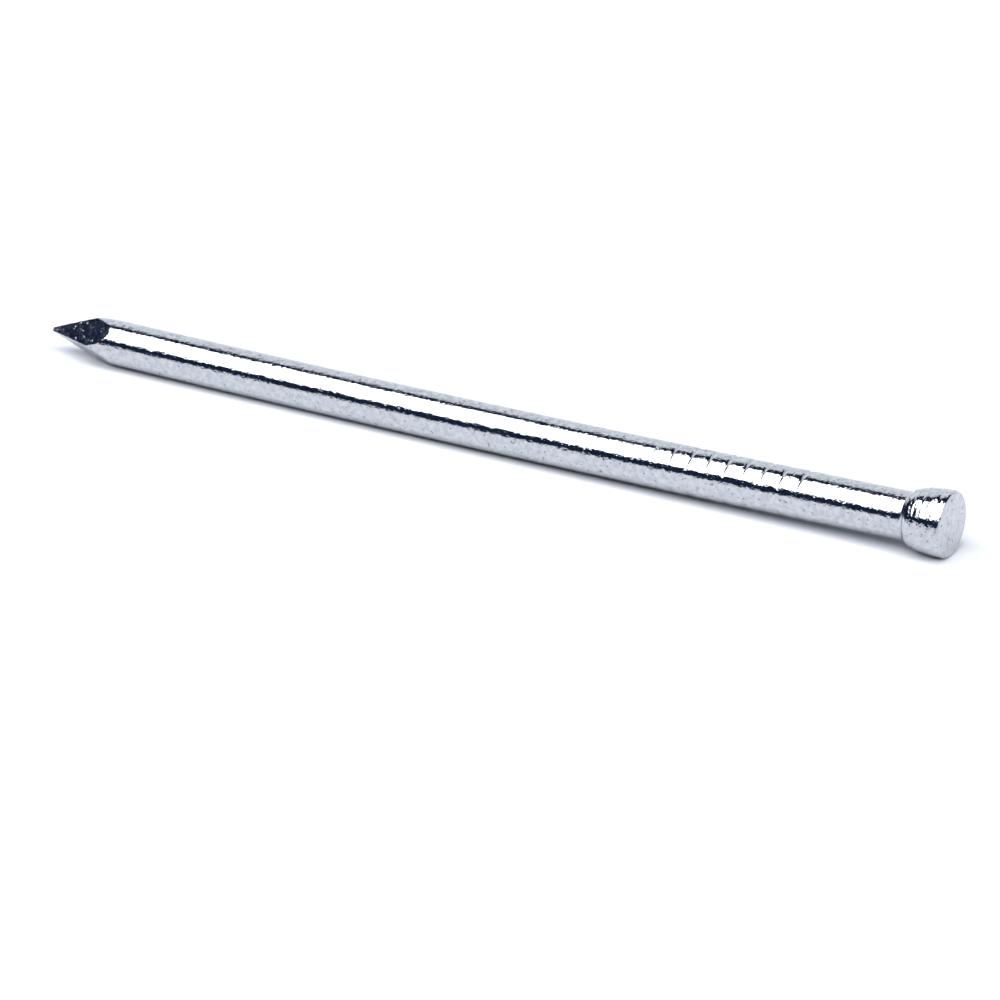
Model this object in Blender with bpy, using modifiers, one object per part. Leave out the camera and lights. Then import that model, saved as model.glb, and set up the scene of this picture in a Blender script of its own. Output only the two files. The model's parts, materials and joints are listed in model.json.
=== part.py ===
"""A round lost-head wire nail, lying at rest with its head towards +X.

The whole nail is one length of drawn steel wire. A header forges the head, the jaws that hold
the wire meanwhile leave grip marks on it, and cutters pinch the other end to a four-sided point.
So the nail is one turned solid, with the point and the marks cut from it.

Local frame of every shape here: the nail's axis is local Z, with the tip at z = 0 and the striking
face at z = NAIL_LENGTH. An empty carries that frame to the nail's place in the world, where local
+Z leans 0.5 degrees up from world +X and local +X points down.
"""

import math

import bmesh
import bpy
from mathutils import Matrix, Vector

# ------------------------------------------------------------------ driving dimensions, in metres

NAIL_LENGTH = 0.065
SHANK_DIAMETER = 0.00295

HEAD_DIAMETER = 0.00405
COLLAR_LENGTH = 0.0020      # from the striking face down to where the head's side starts to turn in
FACE_ROUND = 0.00012        # rounded rim of the striking face
SHOULDER_ROUND = 0.0005     # rounded lower edge of the head
UNDERSIDE_ANGLE = 50.0      # degrees between the underside's cone and the axis
NECK_FILLET = 0.0005        # hollow between the underside and the shank

POINT_HALF_ANGLE = 14.4     # degrees between each flat of the point and the axis
TIP_WIDTH = 0.00024         # across the flats of the blunt tip
POINT_FLATS = 4
FIRST_FLAT = 45.0           # degrees about the axis, from straight down to the first flat

GRIP_MARKS = 9              # on each of the two sides that the jaws held
GRIP_PITCH = 0.00123
GRIP_SETBACK = 0.00955      # from the striking face to the nearest mark
GRIP_DEPTH = 0.00009
GRIP_HALF_WIDTH = 0.00018   # half a mark's width at the wire's surface
GRIP_REACH = 68.0           # degrees that a mark runs round the wire, each way from its middle

# ------------------------------------------------------------------ fineness and clearances

TURN_STEPS = 48
SLEEVE_STEPS = 64
RIM_STEPS = 3
SHOULDER_STEPS = 4
FILLET_STEPS = 4
CUTTER_MARGIN = 0.002       # how far a cutter stands clear of what it doesn't cut
TOOTH_CLEARANCE = 0.00005   # between the sleeve's bore and the wire, between its teeth
MERGE_DISTANCE = 0.00001

# ------------------------------------------------------------------ sizes worked out from them

shank_radius = SHANK_DIAMETER / 2
head_radius = HEAD_DIAMETER / 2
tip_half_width = TIP_WIDTH / 2
point_slope = math.tan(math.radians(POINT_HALF_ANGLE))
point_length = (shank_radius - tip_half_width) / point_slope
edge_reach = shank_radius * math.cos(math.pi / POINT_FLATS)
edge_length = (edge_reach - tip_half_width) / point_slope
tip_corner = tip_half_width / math.cos(math.pi / POINT_FLATS)

# The two rounds under the head are limited where the head's step is too small for both of them.
underside = math.radians(UNDERSIDE_ANGLE)
round_room = (head_radius - shank_radius) / (1 - math.cos(underside))
round_share = min(1, round_room / (SHOULDER_ROUND + NECK_FILLET))
shoulder_round = SHOULDER_ROUND * round_share
neck_fillet = NECK_FILLET * round_share

collar_end = NAIL_LENGTH - COLLAR_LENGTH
grip_middle = NAIL_LENGTH - GRIP_SETBACK - GRIP_PITCH * (GRIP_MARKS - 1) / 2

# The turned sides are flats, and half a step of turn keeps their edges clear of the point's edges.
# The nail rests on the lowest flats of its head and of the shank beside the point.
half_step = math.pi / TURN_STEPS
head_rest = head_radius * math.cos(half_step)
shank_rest = shank_radius * math.cos(half_step)
lean = math.atan2(head_rest - shank_rest, collar_end - edge_length)


# ------------------------------------------------------------------ helpers

def new_collection(name):
    collection = bpy.data.collections.new(name)
    bpy.context.scene.collection.children.link(collection)
    return collection


def add_object(name, mesh, collection, parent, place=None):
    obj = bpy.data.objects.new(name, mesh)
    collection.objects.link(obj)
    obj.parent = parent
    if place is not None:
        obj.matrix_local = place
    return obj


def arc(centre_radius, centre_height, radius, start, end, steps):
    """Points along a round stretch of a turned outline, from start to end in radians."""
    points = []
    for step in range(steps + 1):
        angle = start + (end - start) * step / steps
        points.append((centre_radius + radius * math.cos(angle),
                       centre_height + radius * math.sin(angle)))
    return points


def outline_mesh(name, outline, closed):
    """A chain of edges at +X from (radius, height) pairs, ready for a Screw modifier."""
    bm = bmesh.new()
    verts = [bm.verts.new((radius, 0, height)) for radius, height in outline]
    for first, second in zip(verts, verts[1:]):
        bm.edges.new((first, second))
    if closed:
        bm.edges.new((verts[-1], verts[0]))
    mesh = bpy.data.meshes.new(name)
    bm.to_mesh(mesh)
    bm.free()
    return mesh


def turn(obj, steps):
    """Turns an outline once round its local Z."""
    screw = obj.modifiers.new("turn", "SCREW")
    screw.axis = "Z"
    screw.angle = math.tau
    screw.steps = steps
    screw.render_steps = steps
    screw.use_smooth_shade = True
    screw.use_merge_vertices = True
    screw.merge_threshold = MERGE_DISTANCE


def make_cutter(obj):
    obj.hide_render = True
    obj.display_type = "WIRE"


def cut(obj, cutter):
    boolean = obj.modifiers.new(cutter.name, "BOOLEAN")
    boolean.operation = "DIFFERENCE"
    boolean.solver = "EXACT"
    boolean.object = cutter


# ------------------------------------------------------------------ the parts of the nail

def nail_outline():
    """The turned outline, down its outer side from the striking face to the tip's end."""
    rim_centre = (head_radius - FACE_ROUND, NAIL_LENGTH - FACE_ROUND)
    rim = arc(*rim_centre, FACE_ROUND, math.pi / 2, 0, RIM_STEPS)
    shoulder = arc(head_radius - shoulder_round, collar_end, shoulder_round,
                   0, -underside, SHOULDER_STEPS)

    # The underside's cone runs straight from the shoulder into the fillet.
    shoulder_radius, shoulder_height = shoulder[-1]
    fillet_top_radius = shank_radius + neck_fillet * (1 - math.cos(underside))
    cone_height = (shoulder_radius - fillet_top_radius) / math.tan(underside)
    fillet_height = shoulder_height - cone_height - neck_fillet * math.sin(underside)
    fillet = arc(shank_radius + neck_fillet, fillet_height, neck_fillet,
                 math.pi - underside, math.pi, FILLET_STEPS)

    # A ring of edges between the marks keeps each mark's cut to a band of its own.
    bands = [(shank_radius, grip_middle + GRIP_PITCH * (GRIP_MARKS / 2 - band))
             for band in range(GRIP_MARKS + 1)]
    return [(0, NAIL_LENGTH), *rim, *shoulder, *fillet, *bands, (shank_radius, 0), (0, 0)]


def point_cutters(collection, frame):
    """A block for each flat of the point, with one face lying on that flat."""
    length = point_length + 2 * CUTTER_MARGIN
    breadth = SHANK_DIAMETER + 2 * CUTTER_MARGIN
    cutters = []
    for number in range(POINT_FLATS):
        bm = bmesh.new()
        size = Matrix.Diagonal((breadth, breadth, length, 1))
        bmesh.ops.create_cube(bm, size=1, matrix=size)
        name = f"point_cutter_{number + 1}"
        mesh = bpy.data.meshes.new(name)
        bm.to_mesh(mesh)
        bm.free()

        around = Matrix.Rotation(math.radians(FIRST_FLAT) + math.tau * number / POINT_FLATS, 4, "Z")
        out = Matrix.Translation((tip_half_width, 0, 0))
        tilt = Matrix.Rotation(math.radians(POINT_HALF_ANGLE), 4, "Y")
        seat = Matrix.Translation((breadth / 2, 0, length / 2 - CUTTER_MARGIN))
        cutter = add_object(name, mesh, collection, frame, around @ out @ tilt @ seat)
        make_cutter(cutter)
        cutters.append(cutter)
    return cutters


def grip_sleeve_mesh():
    """A sleeve with a V tooth for each mark, and how far off the axis it sits to press one side.

    Off the axis, a tooth is deepest in the middle of its mark and runs out at GRIP_REACH.
    """
    offset = GRIP_DEPTH / (1 - math.cos(math.radians(GRIP_REACH)))
    tooth_radius = shank_radius + offset - GRIP_DEPTH
    bore_radius = shank_radius + offset + TOOTH_CLEARANCE
    tooth_half_width = (bore_radius - tooth_radius) * GRIP_HALF_WIDTH / GRIP_DEPTH
    half_length = GRIP_PITCH * GRIP_MARKS / 2

    outline = [(bore_radius + CUTTER_MARGIN, half_length),
               (bore_radius + CUTTER_MARGIN, -half_length),
               (bore_radius, -half_length)]
    for mark in range(GRIP_MARKS):
        middle = (mark - (GRIP_MARKS - 1) / 2) * GRIP_PITCH
        outline += [(bore_radius, middle - tooth_half_width),
                    (tooth_radius, middle),
                    (bore_radius, middle + tooth_half_width)]
    outline.append((bore_radius, half_length))
    return outline_mesh("grip_sleeve", outline, closed=True), offset


def grip_cutters(collection, frame):
    """The same sleeve twice: moved down it marks the top of the wire, moved up the underside."""
    mesh, offset = grip_sleeve_mesh()
    cutters = []
    for side, direction in (("top", 1), ("underside", -1)):
        place = Matrix.Translation((direction * offset, 0, grip_middle))
        cutter = add_object(f"grip_cutter_{side}", mesh, collection, frame, place)
        turn(cutter, SLEEVE_STEPS)
        make_cutter(cutter)
        cutters.append(cutter)
    return cutters


def bright_steel():
    """Bare bright-drawn steel wire, with the mill's shine still on it."""
    material = bpy.data.materials.new("bright_drawn_steel")
    material.use_nodes = True
    shader = material.node_tree.nodes["Principled BSDF"]
    shader.inputs["Base Color"].default_value = (0.56, 0.57, 0.59, 1)
    shader.inputs["Metallic"].default_value = 1.0
    shader.inputs["Roughness"].default_value = 0.18
    return material


def resting_frame(collection):
    """The empty whose local Z is the nail's axis, with the box's bottom centre at the origin."""
    axis = Vector((math.cos(lean), 0, math.sin(lean)))
    down = Vector((math.sin(lean), 0, -math.cos(lean)))
    across = axis.cross(down)

    # Both ends of the nail in x, and the height of its lowest edge, before the frame is moved.
    tip_end = -tip_corner * down.x
    rim_centre = (NAIL_LENGTH - FACE_ROUND) * axis + (head_rest - FACE_ROUND) * down
    face_end = rim_centre.x + FACE_ROUND
    lowest = collar_end * axis.z + head_rest * down.z

    frame = add_object("nail_axis", None, collection, None)
    place = Matrix((down, across, axis)).transposed().to_4x4()
    place.translation = (-(tip_end + face_end) / 2, 0, -lowest)
    frame.matrix_world = place
    return frame


def build():
    for obj in list(bpy.data.objects):
        bpy.data.objects.remove(obj, do_unlink=True)

    parts = new_collection("lost_head_nail")
    cutters = new_collection("cutters")
    frame = resting_frame(parts)

    outline = outline_mesh("nail", nail_outline(), closed=False)
    nail = add_object("nail", outline, parts, frame, Matrix.Rotation(half_step, 4, "Z"))
    turn(nail, TURN_STEPS)
    for cutter in point_cutters(cutters, frame) + grip_cutters(cutters, frame):
        cut(nail, cutter)
    nail.modifiers.new("even_shading", "WEIGHTED_NORMAL")
    nail.data.materials.append(bright_steel())


build()
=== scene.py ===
# %% [markdown]
# # A lost-head wire nail
#
# This lesson builds one bright steel nail, lying on a pale table under soft studio light. A packed
# model already gives the nail's place and its overall size. Everything below gives it its looks: the
# finer shape, the steel's finish, and a small studio round it.

import json
import math

import bpy
from mathutils import Matrix, Vector


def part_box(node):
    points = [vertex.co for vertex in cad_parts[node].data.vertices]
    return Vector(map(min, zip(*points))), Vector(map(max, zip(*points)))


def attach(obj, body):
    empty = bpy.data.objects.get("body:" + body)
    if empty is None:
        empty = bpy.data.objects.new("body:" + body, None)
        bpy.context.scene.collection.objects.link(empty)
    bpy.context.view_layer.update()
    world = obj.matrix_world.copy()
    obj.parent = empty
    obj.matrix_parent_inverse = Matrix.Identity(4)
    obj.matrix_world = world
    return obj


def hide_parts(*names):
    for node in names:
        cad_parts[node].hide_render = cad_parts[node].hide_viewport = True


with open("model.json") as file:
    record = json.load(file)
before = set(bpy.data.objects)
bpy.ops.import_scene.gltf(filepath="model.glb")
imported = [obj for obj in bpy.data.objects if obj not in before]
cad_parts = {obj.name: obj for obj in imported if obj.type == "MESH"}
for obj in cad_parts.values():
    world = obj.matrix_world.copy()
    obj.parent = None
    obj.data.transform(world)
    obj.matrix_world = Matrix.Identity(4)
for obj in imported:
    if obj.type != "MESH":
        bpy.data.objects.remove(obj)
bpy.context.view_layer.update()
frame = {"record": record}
nail_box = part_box("nail")
print("the packed nail is", [round(side * 1000, 2) for side in nail_box[1] - nail_box[0]], "mm")


# %% [markdown]
# ## The nail's sizes
#
# A nail is made from one length of drawn wire. A header strikes the end of the wire into the head,
# while two jaws hold the wire and leave a row of grip marks on it. Two cutters then pinch the wire off
# into a four-sided point. Like the head, the point and the marks each have only a few driving sizes.
#
# Those sizes could be typed in wherever they are needed. They are gathered here instead, because one
# of them often decides several places, and then it only has to be changed once. They are those of a
# 65 mm nail of 3 mm wire, and all of the lengths are in mm.

# %% Sizes
MM = 0.001

LENGTH = 65.0
SHANK_RADIUS = 1.475
HEAD_RADIUS = 2.025
BARREL_MIDDLE = 64.5        # where the head's side is widest
BARREL_RADIUS = 6.2         # of the long arc along the head's side
BARREL_LEAN = math.radians(16.5)
FACE_ROUND = 0.20
SHOULDER_ROUND = 0.45
UNDERSIDE_ANGLE = math.radians(50)
NECK_FILLET = 0.40

POINT_SLOPE = math.tan(math.radians(14.4))
TIP_HALF_WIDTH = 0.12
TIP_DROP = 0.14             # how far the cutters leave the tip below the axis

MARKS = 9
MARK_PITCH = 1.23
MARK_SETBACK = 9.55         # from the face to the mark nearest it
MARK_DEPTH = 0.09
MARK_STEEP_SIDE = 0.13      # how far a mark reaches towards the tip
MARK_GENTLE_SIDE = 0.27     # how far it reaches towards the head
MARK_REACH = math.radians(68)
FIRST_MARK_SHARE = 0.6      # the mark nearest the tip isn't pressed as deep as the others

BOW = 0.29                  # how far the wire's middle sags out of line
print("a nail", LENGTH, "mm long, of wire", 2 * SHANK_RADIUS, "mm thick, with", MARKS, "marks a side")


# %% [markdown]
# ## The nail's own axes
#
# A nail that lies on a table is tilted a little, because its head is thicker than its wire. It could
# be modelled tilted, but each place on it would then take some trigonometry. It is easier to shape it
# along an axis of its own, with x = 0 at the tip, and to move the finished mesh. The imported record's
# `head_face` mount says where the striking face is and which way it looks, which places the whole nail.

# %% Axes
head_face = next(mount for mount in frame["record"]["mounts"] if mount["name"] == "head_face")
axis_x = Vector(head_face["axis"]).normalized()
axis_y = Vector((0, 1, 0))
axis_z = axis_x.cross(axis_y)
nail_place = Matrix((axis_x, axis_y, axis_z)).transposed().to_4x4()
nail_place.translation = Vector(head_face["pos_m"]) - axis_x * LENGTH * MM
print("the nail's axis leans", round(math.degrees(math.asin(axis_x.z)), 2), "degrees from level")


# %% [markdown]
# ## The outline
#
# Most of a nail is round, so its shape is a turned one: an outline, carried once round the axis. The
# outline runs from the tip along the shank, up the hollow neck and the cone under the head, along the
# head's side, round the rim and in to the middle of the striking face.
#
# It could be drawn by hand as a curve. Working it out from the sizes takes no longer, and it keeps each
# round stretch a true arc. The outline's points become the rows of the mesh, so they lie close together
# where the shape is fine, at the point, the marks and the head, and far apart along the plain shank.

# %% Places along the wire
POINT_STEP = 0.05
SHANK_STEP = 0.4
COLLAR_STEP = 0.3           # between the marks and the neck
MARK_STEP = 0.03
BETWEEN_MARKS_STEP = 0.12
FINE_BEFORE = 0.15          # the fine steps start this far before the middle of a mark
FINE_AFTER = 0.30           # and end this far after it


def spaced(start, end, step):
    """Values from start to just before end, evenly spaced, about step apart."""
    count = max(1, round(abs(end - start) / step))
    return [start + (end - start) * number / count for number in range(count)]


point_end = (SHANK_RADIUS - TIP_HALF_WIDTH) / POINT_SLOPE
past_point = point_end + 0.5
first_mark = LENGTH - MARK_SETBACK - MARK_PITCH * (MARKS - 1)

stations = spaced(0, past_point, POINT_STEP)
stations += spaced(past_point, first_mark - MARK_PITCH / 2, SHANK_STEP)
for mark in range(MARKS):
    centre = first_mark + mark * MARK_PITCH
    stations += spaced(centre - MARK_PITCH / 2, centre - FINE_BEFORE, BETWEEN_MARKS_STEP)
    stations += spaced(centre - FINE_BEFORE, centre + FINE_AFTER, MARK_STEP)
    stations += spaced(centre + FINE_AFTER, centre + MARK_PITCH / 2, BETWEEN_MARKS_STEP)
print("the wire has", len(stations), "rows, and its point ends at", round(point_end, 2), "mm")


# %% [markdown]
# The head isn't a plain cylinder. The header's die gives its side a slight barrel, and below that the
# steel flows down over a rounded shoulder and a cone into the hollow neck. These stretches follow one
# another without a corner, so the centre or end of each is worked out from the one before.

# %% Neck, cone, shoulder, side and rim
ROUND_STEP = 0.04
SIDE_STEP = 0.035
RIM_STEP = 0.025
FACE_STEP = 0.08


def arc(centre_x, centre_r, radius, start, end, step):
    """(x, radius) pairs round an arc, from the angle start to just before the angle end."""
    return [(centre_x + radius * math.cos(angle), centre_r + radius * math.sin(angle))
            for angle in spaced(start, end, step / radius)]


barrel_r = HEAD_RADIUS - BARREL_RADIUS
barrel_start = (BARREL_MIDDLE - BARREL_RADIUS * math.sin(BARREL_LEAN),
                barrel_r + BARREL_RADIUS * math.cos(BARREL_LEAN))
shoulder_centre = (barrel_start[0] + SHOULDER_ROUND * math.sin(BARREL_LEAN),
                   barrel_start[1] - SHOULDER_ROUND * math.cos(BARREL_LEAN))
cone_end = (shoulder_centre[0] - SHOULDER_ROUND * math.sin(UNDERSIDE_ANGLE),
            shoulder_centre[1] + SHOULDER_ROUND * math.cos(UNDERSIDE_ANGLE))
cone_start_r = SHANK_RADIUS + NECK_FILLET * (1 - math.cos(UNDERSIDE_ANGLE))
cone_start_x = cone_end[0] - (cone_end[1] - cone_start_r) / math.tan(UNDERSIDE_ANGLE)
neck_start = cone_start_x - NECK_FILLET * math.sin(UNDERSIDE_ANGLE)
rim_lean = math.asin((LENGTH - FACE_ROUND - BARREL_MIDDLE) / BARREL_RADIUS)
rim_r = barrel_r + BARREL_RADIUS * math.cos(rim_lean) - FACE_ROUND

stations += spaced(first_mark + (MARKS - 0.5) * MARK_PITCH, neck_start, COLLAR_STEP)
outline = [(0, 0)] + [(x, SHANK_RADIUS) for x in stations]
# The neck is hollow, so its arc is turned over.
outline += [(x, 2 * (SHANK_RADIUS + NECK_FILLET) - r) for x, r in
            arc(neck_start, SHANK_RADIUS + NECK_FILLET, NECK_FILLET,
                math.pi / 2, math.pi / 2 - UNDERSIDE_ANGLE, ROUND_STEP)]
outline += [(x, cone_start_r + (x - cone_start_x) * math.tan(UNDERSIDE_ANGLE))
            for x in spaced(cone_start_x, cone_end[0], ROUND_STEP)]
outline += arc(*shoulder_centre, SHOULDER_ROUND,
               math.pi / 2 + UNDERSIDE_ANGLE, math.pi / 2 + BARREL_LEAN, ROUND_STEP)
outline += arc(BARREL_MIDDLE, barrel_r, BARREL_RADIUS,
               math.pi / 2 + BARREL_LEAN, math.pi / 2 - rim_lean, SIDE_STEP)
outline += arc(LENGTH - FACE_ROUND, rim_r, FACE_ROUND, math.pi / 2, 0, RIM_STEP)
outline += [(LENGTH, r) for r in spaced(rim_r, 0, FACE_STEP)]
outline.append((LENGTH, 0))

outline_mesh = bpy.data.meshes.new("nail_outline")
outline_mesh.from_pydata([(x * MM, r * MM, 0) for x, r in outline], [], [])
print("the outline has", len(outline), "points, and the neck starts at", round(neck_start, 2), "mm")


# %% [markdown]
# ## The rule that turns the outline into a nail
#
# A Screw modifier could turn the outline, and Booleans could then cut the point and the marks. But the
# marks are less than a tenth of a millimetre deep, and Booleans leave slivers along cuts as shallow as
# that. So a Geometry Nodes tree holds one rule for the whole nail instead: how far the surface is from
# the axis, at each place along it and at each angle round it.
#
# The tree makes a flat grid, with a row for each point of the outline and many columns. A row looks up
# its place along the axis and its radius on the outline, and a column is an angle round the axis. The
# point, the head's streaks and the grip marks then each change the radius in turn.
#
# A tree is easier to read when every node is added the same way, so one function adds a node with its
# settings and its links. The tree's own inputs are its sizes, so each can be changed on the modifier.

# %% The tree's inputs
def add_node(tree, kind, inputs=None, **settings):
    """Adds a node. An input that is given a socket is linked, and any other is set."""
    node = tree.nodes.new(kind)
    for name, setting in settings.items():
        setattr(node, name, setting)
    for key, source in (inputs or {}).items():
        if isinstance(source, bpy.types.NodeSocket):
            tree.links.new(source, node.inputs[key])
        else:
            node.inputs[key].default_value = source
    return node


tree = bpy.data.node_groups.new("turned_nail", "GeometryNodeTree")
tree.interface.new_socket("Geometry", in_out="OUTPUT", socket_type="NodeSocketGeometry")
tree.interface.new_socket("Outline", in_out="INPUT", socket_type="NodeSocketGeometry")
sizes = {
    "Length": LENGTH * MM,
    "Bow": BOW * MM,
    "Point End": point_end * MM,
    "Tip Drop": TIP_DROP * MM,
    "Tip Half Width": TIP_HALF_WIDTH * MM,
    "Point Slope": POINT_SLOPE,
    "Edge Softness": 0.03 * MM,
    "Cut Roughness": 0.05 * MM,
    "First Mark": first_mark * MM,
    "Last Mark": MARKS - 1,
    "Mark Pitch": MARK_PITCH * MM,
    "Mark Depth": MARK_DEPTH * MM,
    "Mark Steep Flank": -MARK_DEPTH / MARK_STEEP_SIDE,
    "Mark Gentle Flank": MARK_DEPTH / MARK_GENTLE_SIDE,
    "Mark Reach": 1 - math.cos(MARK_REACH),
    "Mark Softness": 0.006 * MM,
    "Pillow": 0.018 * MM,
    "Head Start": cone_end[0] * MM,
    "Head Fade": 0.2 * MM,
    "Head Roughness": 0.08 * MM,
}
for name in sizes:
    tree.interface.new_socket(name, in_out="INPUT", socket_type="NodeSocketFloat")
tree.interface.new_socket("Columns", in_out="INPUT", socket_type="NodeSocketInt")
tree.interface.new_socket("Seed", in_out="INPUT", socket_type="NodeSocketInt")
tree.interface.new_socket("Steel", in_out="INPUT", socket_type="NodeSocketMaterial")
given = add_node(tree, "NodeGroupInput").outputs
value = {name: given[name] for name in sizes}
print("the tree has", len(value), "sizes")


# %% [markdown]
# ### The turned body
#
# Before anything is pressed or cut, the nail is what a lathe would make. Its rows and columns could
# come from a circle swept along a line, but a flat grid is simpler to count: its y becomes the number
# of a row, and its x, from -0.5 to 0.5, becomes the share of a full turn. Sample Index then reads that
# row's point on the outline.

# %% Rows, columns and the plain turned radius
rows = add_node(tree, "GeometryNodeAttributeDomainSize", {"Geometry": given["Outline"]},
                component="MESH").outputs["Point Count"]
last_row = add_node(tree, "ShaderNodeMath", {0: rows, 1: 1}, operation="SUBTRACT").outputs[0]
edges_round = add_node(tree, "ShaderNodeMath", {0: given["Columns"], 1: 1}, operation="ADD").outputs[0]
grid = add_node(tree, "GeometryNodeMeshGrid", {"Size X": 1, "Size Y": 1, "Vertices X": edges_round,
                                               "Vertices Y": rows}).outputs["Mesh"]
here = add_node(tree, "ShaderNodeSeparateXYZ",
                {0: add_node(tree, "GeometryNodeInputPosition").outputs[0]}).outputs
row = add_node(tree, "ShaderNodeMath", {0: here["Y"], 1: 0.5}, operation="ADD").outputs[0]
row = add_node(tree, "ShaderNodeMath", {0: row, 1: last_row}, operation="MULTIPLY").outputs[0]
row = add_node(tree, "ShaderNodeMath", {0: row}, operation="ROUND").outputs[0]
on_outline = add_node(tree, "GeometryNodeSampleIndex", {
    "Geometry": given["Outline"], "Index": row,
    "Value": add_node(tree, "GeometryNodeInputPosition").outputs[0],
}, data_type="FLOAT_VECTOR", domain="POINT").outputs["Value"]
turned = add_node(tree, "ShaderNodeSeparateXYZ", {0: on_outline}).outputs
value.update({"across": here["X"], "along": turned["X"], "turned": turned["Y"]})
print("the plain turned body takes", len(tree.nodes), "nodes")


# %% [markdown]
# ### Sums by name
#
# The rest of the rule is mostly sums. Adding each one by hand would hide what it says, so they are
# written as tables. Each line is one Math node: the name of its result, its operation, and then the
# names or numbers that it works on.
#
# Angle 0 is straight down. Noise will be read at the place on the plain turned body, in three
# dimensions, so that it meets itself where the last column meets the first.

# %% Angles, and a place for the noise
for name, operation, *terms in (
    ("turn", "ADD", "across", 0.5),
    ("angle", "MULTIPLY", "turn", math.tau),
    ("cos_angle", "COSINE", "angle"),
    ("sin_angle", "SINE", "angle"),
    ("turned_y", "MULTIPLY", "turned", "sin_angle"),
    ("turned_down", "MULTIPLY", "turned", "cos_angle"),
):
    sockets = {index: value.get(term, term) for index, term in enumerate(terms)}
    value[name] = add_node(tree, "ShaderNodeMath", sockets, operation=operation).outputs[0]

on_body = add_node(tree, "ShaderNodeCombineXYZ", {"X": value["along"], "Y": value["turned_y"],
                                                  "Z": value["turned_down"]}).outputs[0]
print("with the angles, the tree has", len(tree.nodes), "nodes")


# %% [markdown]
# ### The point
#
# The cutters leave four flats. A flat whose middle is at distance `d` from the axis is `d / cos(angle
# from its middle)` away in any other direction, and the radius is the smaller of that and the turned
# one. A plain minimum would leave knife edges. A smooth minimum leaves them a little blunt, as the
# cutters do. Cutters tear steel as much as they cut it, so the flats also get a noise of their own.

# %% The point's flats
def per_mm(size):
    """The texture scale for features of this size, in mm, on coordinates in metres."""
    return 1000 / size


value["torn"] = add_node(tree, "ShaderNodeTexNoise", {
    "Vector": on_body, "Scale": per_mm(0.42), "Detail": 2.0, "Roughness": 0.6,
}).outputs["Fac"]
for name, operation, *terms in (
    ("quarter", "MODULO", "angle", math.pi / 2),
    ("from_flat", "SUBTRACT", "quarter", math.pi / 4),
    ("cos_from_flat", "COSINE", "from_flat"),
    ("flat_at_axis", "MULTIPLY_ADD", "along", "Point Slope", "Tip Half Width"),
    ("unevenness", "SUBTRACT", "torn", 0.5),
    ("torn_flat", "MULTIPLY_ADD", "unevenness", "Cut Roughness", "flat_at_axis"),
    ("flat", "DIVIDE", "torn_flat", "cos_from_flat"),
    ("pointed", "SMOOTH_MIN", "turned", "flat", "Edge Softness"),
    ("cut_away", "SUBTRACT", "turned", "flat"),
):
    sockets = {index: value.get(term, term) for index, term in enumerate(terms)}
    value[name] = add_node(tree, "ShaderNodeMath", sockets, operation=operation).outputs[0]
print("with the point, the tree has", len(tree.nodes), "nodes")


# %% [markdown]
# ### The head's streaks
#
# The header's die is worn, and it leaves fine streaks round the head's side. A bump in the material
# would show them too, but real relief also breaks up the head's outline a little. The noise is squeezed
# along the axis, so the streaks are about a quarter of a millimetre apart and several times as long.

# %% The head's streaks
squeezed = add_node(tree, "ShaderNodeVectorMath", {0: on_body, 1: (1, 0.16, 0.16)},
                    operation="MULTIPLY").outputs[0]
value["streaks"] = add_node(tree, "ShaderNodeTexNoise", {
    "Vector": squeezed, "Scale": per_mm(0.26), "Detail": 1.5, "Roughness": 0.55,
}).outputs["Fac"]
for name, operation, *terms in (
    ("past_neck", "SUBTRACT", "along", "Head Start"),
    ("past_neck_share", "DIVIDE", "past_neck", "Head Fade"),
    ("on_head_raw", "MAXIMUM", "past_neck_share", 0),
    ("on_head", "MINIMUM", "on_head_raw", 1),
    ("streak", "SUBTRACT", "streaks", 0.5),
    ("streak_here", "MULTIPLY", "streak", "on_head"),
    ("streaked", "MULTIPLY_ADD", "streak_here", "Head Roughness", "pointed"),
):
    sockets = {index: value.get(term, term) for index, term in enumerate(terms)}
    value[name] = add_node(tree, "ShaderNodeMath", sockets, operation=operation).outputs[0]
print("with the streaks, the tree has", len(tree.nodes), "nodes")


# %% [markdown]
# ### The grip marks
#
# The jaws press a row of marks into the wire from above and another from below. Each mark is deepest in
# its middle and runs out to either side. The jaws' teeth lean, like a saw's, so each mark is a shallow
# V with a steep side and a gentle one.
#
# A tooth could be modelled once and instanced along the wire, but then it would have to be cut out.
# Rounding does the repeating here instead: `nearest` is the number of the closest mark, and a random
# value for that number, `press`, is how hard it was pressed in.

# %% The jaws' marks
for name, operation, *terms in (
    ("past_first", "SUBTRACT", "along", "First Mark"),
    ("in_pitches", "DIVIDE", "past_first", "Mark Pitch"),
    ("rounded", "ROUND", "in_pitches"),
    ("not_before", "MAXIMUM", "rounded", 0),
    ("nearest", "MINIMUM", "not_before", "Last Mark"),
):
    sockets = {index: value.get(term, term) for index, term in enumerate(terms)}
    value[name] = add_node(tree, "ShaderNodeMath", sockets, operation=operation).outputs[0]

pressed = add_node(tree, "FunctionNodeRandomValue", {
    "Min": 0.9, "Max": 1.1, "ID": value["nearest"], "Seed": given["Seed"],
}, data_type="FLOAT")
value["press"] = next(socket for socket in pressed.outputs if socket.enabled)

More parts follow.
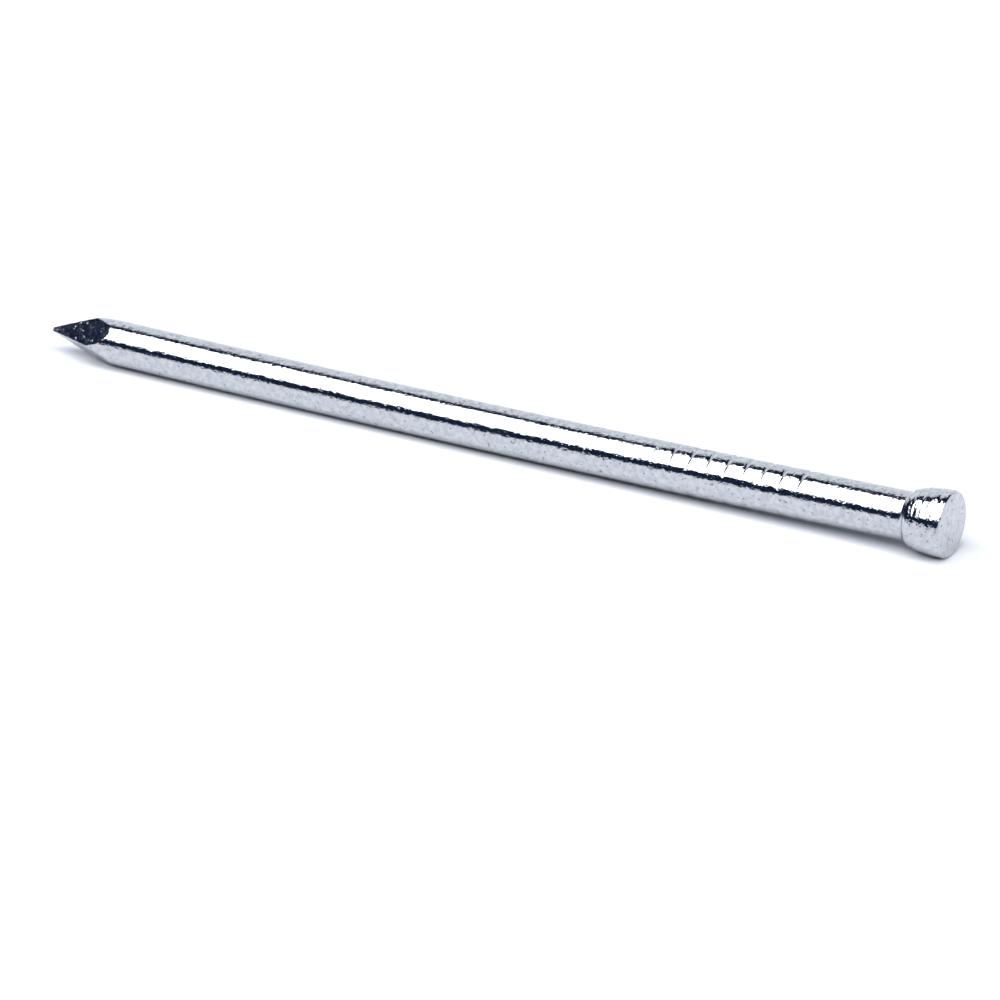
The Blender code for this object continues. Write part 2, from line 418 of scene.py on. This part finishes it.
for name, operation, *terms in (
    ("is_first", "LESS_THAN", "nearest", 0.5),
    ("first_share", "MULTIPLY_ADD", "is_first", FIRST_MARK_SHARE - 1, 1),
    ("press_here", "MULTIPLY", "press", "first_share"),
    ("to_side", "ABSOLUTE", "cos_angle"),
    ("aside", "SUBTRACT", 1, "to_side"),
    ("run_out", "DIVIDE", "aside", "Mark Reach"),
    ("strength", "SUBTRACT", "press_here", "run_out"),
    ("deepest", "MULTIPLY", "strength", "Mark Depth"),
    ("offset", "SUBTRACT", "in_pitches", "nearest"),
    ("offset_size", "ABSOLUTE", "offset"),
    ("distance", "MULTIPLY", "offset", "Mark Pitch"),
    ("steep_flank", "MULTIPLY", "distance", "Mark Steep Flank"),
    ("gentle_flank", "MULTIPLY", "distance", "Mark Gentle Flank"),
    ("flank", "MAXIMUM", "steep_flank", "gentle_flank"),
    ("cut", "SUBTRACT", "deepest", "flank"),
    ("mark", "SMOOTH_MAX", "cut", 0, "Mark Softness"),
    ("marked", "SUBTRACT", "streaked", "mark"),
):
    sockets = {index: value.get(term, term) for index, term in enumerate(terms)}
    value[name] = add_node(tree, "ShaderNodeMath", sockets, operation=operation).outputs[0]
print("with the marks, the tree has", len(tree.nodes), "nodes")


# %% [markdown]
# ### Swellings, the bow and the tip
#
# The steel that a mark pushes aside swells up between it and the next one. No wire is perfectly
# straight either: the whole nail sags in a long shallow bow, and the cutters leave the tip a little
# below the axis. A Curve or Lattice modifier could bend the finished mesh, but the shapes are so simple
# that a sum for each is shorter. `x * (1 - x) * 4` is 1 in the middle and 0 at both ends.

# %% Swellings, the bow and the tip
for name, operation, *terms in (
    ("away", "SUBTRACT", 1, "offset_size"),
    ("away_enough", "MAXIMUM", "away", 0),
    ("hump", "MULTIPLY", "away_enough", "offset_size"),
    ("gripped", "MAXIMUM", "strength", 0),
    ("gripped_hump", "MULTIPLY", "hump", "gripped"),
    ("swell", "MULTIPLY", "gripped_hump", 4),
    ("swollen", "MULTIPLY_ADD", "swell", "Pillow", "marked"),
    ("radius", "MAXIMUM", "swollen", 0),
    ("y", "MULTIPLY", "radius", "sin_angle"),
    ("down", "MULTIPLY", "radius", "cos_angle"),
    ("share", "DIVIDE", "along", "Length"),
    ("share_left", "SUBTRACT", 1, "share"),
    ("bow_share", "MULTIPLY", "share", "share_left"),
    ("bow_share_4", "MULTIPLY", "bow_share", 4),
    ("sagged", "MULTIPLY_ADD", "bow_share_4", "Bow", "down"),
    ("point_share", "DIVIDE", "along", "Point End"),
    ("to_tip", "SUBTRACT", 1, "point_share"),
    ("in_point", "MAXIMUM", "to_tip", 0),
    ("dropped", "MULTIPLY_ADD", "in_point", "Tip Drop", "sagged"),
    ("z", "MULTIPLY", "dropped", -1),
):
    sockets = {index: value.get(term, term) for index, term in enumerate(terms)}
    value[name] = add_node(tree, "ShaderNodeMath", sockets, operation=operation).outputs[0]
print("with the bow, the tree has", len(tree.nodes), "nodes")


# %% [markdown]
# ### From the grid to a closed nail
#
# The steel's finish differs along the nail, so the tree stores two numbers on the mesh for the material
# to read. They are stored while the grid is still flat, because they are worked out from its flat
# positions. Set Position then rolls the grid up, and Merge by Distance closes its seam, the tip and the
# middle of the face. The last two nodes leave plain geometry with the steel on it.

# %% The finished shape
shape = grid
for name, source in (("along", "along"), ("flat_depth", "cut_away")):
    shape = add_node(tree, "GeometryNodeStoreNamedAttribute",
                     {"Geometry": shape, "Name": name, "Value": value[source]},
                     data_type="FLOAT", domain="POINT").outputs[0]
place = add_node(tree, "ShaderNodeCombineXYZ", {"X": value["along"], "Y": value["y"],
                                                "Z": value["z"]}).outputs[0]
shape = add_node(tree, "GeometryNodeSetPosition", {"Geometry": shape, "Position": place}).outputs[0]
shape = add_node(tree, "GeometryNodeMergeByDistance",
                 {"Geometry": shape, "Distance": 0.001 * MM}).outputs[0]
shape = add_node(tree, "GeometryNodeSetShadeSmooth", {"Geometry": shape}).outputs[0]
shape = add_node(tree, "GeometryNodeRealizeInstances", {"Geometry": shape}).outputs[0]
shape = add_node(tree, "GeometryNodeSetMaterial",
                 {"Geometry": shape, "Material": given["Steel"]}).outputs[0]
add_node(tree, "NodeGroupOutput", {"Geometry": shape})
print("the whole tree has", len(tree.nodes), "nodes")


# %% [markdown]
# ## Bright drawn steel
#
# The wire is mild steel, pulled cold through a die. That gives a bright, smooth skin, and a metal like
# that gets nearly all of its look from what it reflects. The finish could come from a painted image.
# Noise textures are used instead, because they stay sharp at any distance, they need no seams, and the
# size of each feature can be given in millimetres: `per_mm` turns it into a scale.
#
# The skin isn't the same all over. Where the cutters tore the point to shape, it is gone, and the
# attribute `flat_depth` says how far. No tool touches the neck under the head, where the steel bulges
# as the head is struck, so the neck is duller than the rest. The attribute `along` finds it.

# %% Where the steel was cut, and the neck
steel = bpy.data.materials.new("bright_drawn_steel")
steel.use_nodes = True
finish = steel.node_tree
finish.nodes.clear()
where = add_node(finish, "ShaderNodeTexCoord").outputs["Object"]

# 0 on the drawn skin, and 1 where at least 0.03 mm of it is gone.
depth = add_node(finish, "ShaderNodeAttribute", attribute_name="flat_depth").outputs["Fac"]
cut = add_node(finish, "ShaderNodeMapRange", {"Value": depth, "From Min": 0, "From Max": 0.03 * MM},
               clamp=True).outputs[0]

# 1 in the neck's hollow, and 0 on the wire and on the head's side, with a soft change between them.
NECK_FADE = 0.10
along = add_node(finish, "ShaderNodeAttribute", attribute_name="along").outputs["Fac"]
after = add_node(finish, "ShaderNodeMapRange", {"Value": along,
                                                "From Min": (neck_start - NECK_FADE / 2) * MM,
                                                "From Max": (neck_start + NECK_FADE) * MM},
                 clamp=True).outputs[0]
before = add_node(finish, "ShaderNodeMapRange", {"Value": along, "From Min": cone_end[0] * MM,
                                                 "From Max": (cone_end[0] - NECK_FADE) * MM},
                  clamp=True).outputs[0]
neck = add_node(finish, "ShaderNodeMath", {0: after, 1: before}, operation="MULTIPLY").outputs[0]
print("the dull neck runs from", round(neck_start, 2), "to", round(cone_end[0], 2), "mm")


# %% [markdown]
# Bare steel reflects a little over half of the light, slightly more of the blue. Its colour is two
# close greys in soft patches. Over them come small darker specks, which are dried drawing soap and oil.
# Colours are written as the hex values that a paint program shows. Blender's shaders want linear
# light, so one function converts them.

# %% Colour
def linear(hex_colour):
    """An sRGB hex colour such as "c8ccd2" as linear red, green, blue and alpha."""
    parts = [int(hex_colour[start:start + 2], 16) / 255 for start in (0, 2, 4)]
    return (*(p / 12.92 if p <= 0.04045 else ((p + 0.055) / 1.055) ** 2.4 for p in parts), 1)


mottle = add_node(finish, "ShaderNodeTexNoise", {"Vector": where, "Scale": per_mm(0.35),
                                                 "Detail": 3.0, "Roughness": 0.6}).outputs["Fac"]
patch = add_node(finish, "ShaderNodeMapRange", {"Value": mottle, "From Min": 0.35, "From Max": 0.65},
                 clamp=True).outputs[0]
clean = add_node(finish, "ShaderNodeMix", {"Factor": patch, "A": linear("b2b4b8"),
                                           "B": linear("c8cacc")}, data_type="RGBA").outputs[2]
specks = add_node(finish, "ShaderNodeTexNoise", {"Vector": where, "Scale": per_mm(0.24),
                                                 "Detail": 2.0}).outputs["Fac"]
speck = add_node(finish, "ShaderNodeMapRange", {"Value": specks, "From Min": 0.63, "From Max": 0.70},
                 clamp=True).outputs[0]
colour = add_node(finish, "ShaderNodeMix", {"Factor": speck, 6: clean, "B": linear("7c818a")},
                  data_type="RGBA").outputs[2]
print("the colour takes", len(finish.nodes), "nodes")


# %% [markdown]
# Three kinds of relief are too fine for the mesh, so Bump nodes draw them, each over the one before:
#
# - **drawing lines** along the wire, about a tenth of a millimetre apart, which break up the edge of
#   every reflection. Real ones are finer still, but those wouldn't show;
# - **shallow pits** a quarter of a millimetre across, which make those edges ragged. Hundreds of nails
#   are tumbled together to clean them, and each knock leaves one;
# - **torn steel** on the point, only where the skin is gone.

# %% Relief
stretched = add_node(finish, "ShaderNodeMapping", {"Vector": where, "Scale": (0.03, 1, 1)}).outputs[0]
lines = add_node(finish, "ShaderNodeTexNoise", {"Vector": stretched, "Scale": per_mm(0.10),
                                                "Detail": 2.0}).outputs["Fac"]
pits = add_node(finish, "ShaderNodeTexNoise", {"Vector": where, "Scale": per_mm(0.22),
                                               "Detail": 2.5, "Roughness": 0.55}).outputs["Fac"]
torn = add_node(finish, "ShaderNodeTexNoise", {"Vector": where, "Scale": per_mm(0.28),
                                               "Detail": 2.0, "Roughness": 0.6}).outputs["Fac"]
bump = add_node(finish, "ShaderNodeBump", {"Height": lines, "Strength": 1.0,
                                           "Distance": 0.002 * MM}).outputs[0]
bump = add_node(finish, "ShaderNodeBump", {"Height": pits, "Strength": 1.0, "Normal": bump,
                                           "Distance": 0.023 * MM}).outputs[0]
bump = add_node(finish, "ShaderNodeBump", {"Height": torn, "Strength": cut, "Normal": bump,
                                           "Distance": 0.030 * MM}).outputs[0]
print("with the relief, the steel has", len(finish.nodes), "nodes")


# %% [markdown]
# The last step is the gloss. The drawn skin is nearly a mirror, the neck is duller, and the torn steel
# is dull and bright in patches. One roughness for all three would make the point look polished.

# %% Gloss
BRIGHT_ROUGHNESS = 0.07
DULL_ROUGHNESS = 0.20

torn_rough = add_node(finish, "ShaderNodeMapRange", {"Value": torn, "From Min": 0.40, "From Max": 0.62,
                                                     "To Min": BRIGHT_ROUGHNESS,
                                                     "To Max": DULL_ROUGHNESS},
                      clamp=True).outputs[0]
skin_rough = add_node(finish, "ShaderNodeMapRange", {"Value": neck, "To Min": BRIGHT_ROUGHNESS,
                                                     "To Max": DULL_ROUGHNESS}).outputs[0]
rough = add_node(finish, "ShaderNodeMix", {"Factor": cut, "A": skin_rough, "B": torn_rough},
                 data_type="FLOAT").outputs[0]
shader = add_node(finish, "ShaderNodeBsdfPrincipled", {
    "Base Color": colour, "Metallic": 1.0, "Roughness": rough, "Normal": bump,
})
add_node(finish, "ShaderNodeOutputMaterial", {"Surface": shader.outputs[0]})
print("the finished steel has", len(finish.nodes), "nodes")


# %% [markdown]
# ## Making the nail
#
# The tree goes on an object that holds only the outline. Its inputs are set by their identifiers
# before Blender works the object out for the first time. The modifier could stay on, but a nail that
# is exported or reused is safer as a plain mesh. So the finished shape is copied into one, which is
# moved to the nail's place, and the object itself stays at the origin.

# %% Nail
COLUMNS = 176


def add_to_scene(obj):
    """Links a new object to the scene and gives it back."""
    bpy.context.scene.collection.objects.link(obj)
    return obj


maker = add_to_scene(bpy.data.objects.new("nail_maker", outline_mesh))
modifier = maker.modifiers.new("turned_nail", "NODES")
modifier.node_group = tree
settings = {**sizes, "Columns": COLUMNS, "Seed": 4, "Steel": steel}
for item in tree.interface.items_tree:
    if item.name in settings:
        modifier[item.identifier] = settings[item.name]

graph = bpy.context.evaluated_depsgraph_get()
nail_mesh = bpy.data.meshes.new_from_object(maker.evaluated_get(graph))
nail_mesh.name = "wire_nail"
maker.modifiers.remove(modifier)
bpy.data.objects.remove(maker)
nail_mesh.transform(nail_place)
nail = add_to_scene(bpy.data.objects.new("wire_nail", nail_mesh))
print("the nail has", len(nail_mesh.vertices), "points and", len(nail_mesh.polygons), "faces")


# %% [markdown]
# ### Settling it on the table
#
# A bowed nail lies differently from a straight one. A physics run would settle it, but two numbers are
# enough: the lowest point of its front half and the lowest point of its head are both brought down to
# z = 0. Tilting the nail can make another point the lowest, so this is done three times.

# %% Settle the nail on the table
HEAD_END = 4.0              # the head and its neck lie within this distance of the face


def lowest(mesh, start, end):
    """The lowest point whose x is between start and end."""
    return min((v.co for v in mesh.vertices if start <= v.co.x <= end), key=lambda co: co.z).copy()


for attempt in range(3):
    front = lowest(nail_mesh, nail_box[0].x, 0)
    back = lowest(nail_mesh, nail_box[1].x - HEAD_END * MM, nail_box[1].x)
    tilt = (back.z - front.z) / (back.x - front.x)
    for vertex in nail_mesh.vertices:
        vertex.co.z -= front.z + (vertex.co.x - front.x) * tilt
print("it rests at x =", round(front.x / MM, 1), "mm and x =", round(back.x / MM, 1), "mm")

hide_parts("nail")
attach(nail, "root")


# %% [markdown]
# ## The studio
#
# Polished metal shows its surroundings, so the lights are shapes as much as they are brightness. An
# image of a real studio could surround the nail. Plain rectangles are used instead, because the edge
# of each one can be put exactly where a line should run along the wire. The nail sees five things:
#
# - a pale table under it, lit until it looks pure white;
# - a large softbox above and in front, mostly to the left, and a smaller one on its right;
# - pale panels behind, whose top edge stops short of the softbox and leaves a dark gap;
# - a light on the right;
# - the dark blue of the room everywhere else, which draws the dark lines that make it look like metal.
#
# The studio's own sizes are in metres. The table is a dull laminate, so it shows no reflection of the
# nail or of the lights.

# %% Table
TABLE_HALF = 1.5

laminate = bpy.data.materials.new("pale_laminate")
laminate.use_nodes = True
laminate_shader = laminate.node_tree.nodes["Principled BSDF"]
laminate_shader.inputs["Base Color"].default_value = linear("abaeb3")
laminate_shader.inputs["Roughness"].default_value = 0.7
laminate_shader.inputs["Specular IOR Level"].default_value = 0.0

table_mesh = bpy.data.meshes.new("table")
table_mesh.from_pydata([(x * TABLE_HALF, y * TABLE_HALF, 0) for x, y in ((-1, -1), (1, -1), (1, 1), (-1, 1))],
                       [], [(0, 1, 2, 3)])
table_mesh.materials.append(laminate)
table = add_to_scene(bpy.data.objects.new("table", table_mesh))
print("the table is", 2 * TABLE_HALF, "m square")


# %% [markdown]
# ### Lights
#
# Spot and point lights would show on the wire as dots. Area lights show as clean bands, as real
# softboxes do. The softboxes and the panels behind are placed by the angles at which the nail sees
# their edges, because those angles decide where on the round wire they show. A light's power is worked
# out from how bright its surface should be, so a large one looks no brighter than a small one.

# %% Softboxes
LIGHT_DISTANCE = 1.2
SOFTBOX_LOW = math.radians(31.4)
SOFTBOX_HIGH = math.radians(91)
SOFTBOX_RADIANCE = 7.0


def add_panel(name, centre, size, towards, colour, radiance):
    """A rectangular area light at centre, facing towards, as bright as radiance all over."""
    light = bpy.data.lights.new(name, "AREA")
    light.color = colour[:3]
    light.shape = "RECTANGLE"
    light.size, light.size_y = size
    light.energy = radiance * math.pi * size[0] * size[1]
    obj = add_to_scene(bpy.data.objects.new(name, light))
    obj.location = centre
    obj.rotation_euler = (Vector(towards) - Vector(centre)).to_track_quat("-Z", "Y").to_euler()
    obj.visible_camera = False


# The two softboxes lie along x, square to the line of sight to their middles. The gap between them is
# what the steep sides of the jaws' marks show.
middle_angle = (SOFTBOX_LOW + SOFTBOX_HIGH) / 2
half_height = LIGHT_DISTANCE * math.tan((SOFTBOX_HIGH - SOFTBOX_LOW) / 2)
softbox_y = -LIGHT_DISTANCE * math.cos(middle_angle)
softbox_z = LIGHT_DISTANCE * math.sin(middle_angle)
for name, left, right in (("softbox", -1.15, 0.62), ("second_softbox", 0.98, 1.70)):
    middle = (left + right) / 2
    add_panel(name, (middle, softbox_y, softbox_z), (right - left, 2 * half_height), (middle, 0, 0),
              linear("fdfdff"), SOFTBOX_RADIANCE)
print("the softboxes are", round(2 * half_height, 2), "m high")


# %% [markdown]
# Pale panels stand behind, side by side. The right-hand one is low and mostly lights the table: above
# it the dark room shows, as a black wedge on the side of the head next to the face. A light on the
# right keeps the table white beyond the head and draws the bright line round the face.

# %% Panels, the light on the right and the room
PANEL_HEIGHT = LIGHT_DISTANCE * math.tan(math.radians(65))
PANEL_RADIANCE = 1.15
SIDE_RADIANCE = 8.6

for name, left, right, height in (("back_panel", -4.0, 0.68, PANEL_HEIGHT),
                                  ("low_back_panel", 0.68, 3.0, 0.6)):
    middle = (left + right) / 2
    add_panel(name, (middle, LIGHT_DISTANCE, height / 2), (right - left, height),
              (middle, 0, height / 2), linear("f2f6fc"), PANEL_RADIANCE)
add_panel("side_panel", (1.5, -0.10, 0.90), (1.0, 0.9), (0, 0, 0), linear("fffdf8"), SIDE_RADIANCE)

world = bpy.data.worlds.new("dark_room")
world.use_nodes = True
world.node_tree.nodes["Background"].inputs["Color"].default_value = linear("1c2b45")
world.node_tree.nodes["Background"].inputs["Strength"].default_value = 1.0
bpy.context.scene.world = world
print("the back panel is", round(PANEL_HEIGHT, 2), "m high")


# %% [markdown]
# ## The camera
#
# A short lens close to the nail would make the near end look much larger than the far one. A long lens
# from a quarter of a metre away keeps the two ends nearly the same size. The camera stands to the
# head's side and looks down at it.

# %% Camera
CAMERA_AZIMUTH = math.radians(31.41)
CAMERA_ELEVATION = math.radians(22.91)
CAMERA_DISTANCE = 0.2526
CAMERA_LENS = 147.1
AIM = Vector((2.236, -0.739, -2.790)) * MM

to_camera = Vector((math.sin(CAMERA_AZIMUTH) * math.cos(CAMERA_ELEVATION),
                    -math.cos(CAMERA_AZIMUTH) * math.cos(CAMERA_ELEVATION),
                    math.sin(CAMERA_ELEVATION)))
camera_data = bpy.data.cameras.new("camera")
camera_data.lens = CAMERA_LENS
camera_data.sensor_width = 36
camera_data.clip_start = 0.01
camera_data.clip_end = 20
camera = add_to_scene(bpy.data.objects.new("camera", camera_data))
camera.location = AIM + to_camera * CAMERA_DISTANCE
camera.rotation_euler = (-to_camera).to_track_quat("-Z", "Y").to_euler()
bpy.context.scene.camera = camera
bpy.context.scene.view_settings.view_transform = "Standard"
print("the camera's view is", round(math.degrees(camera_data.angle), 1), "degrees wide")


# %% [markdown]
# ## Finishing
#
# The drawn nail should fill the same space as the imported one.

# %% Finish
print("the nail is ready")
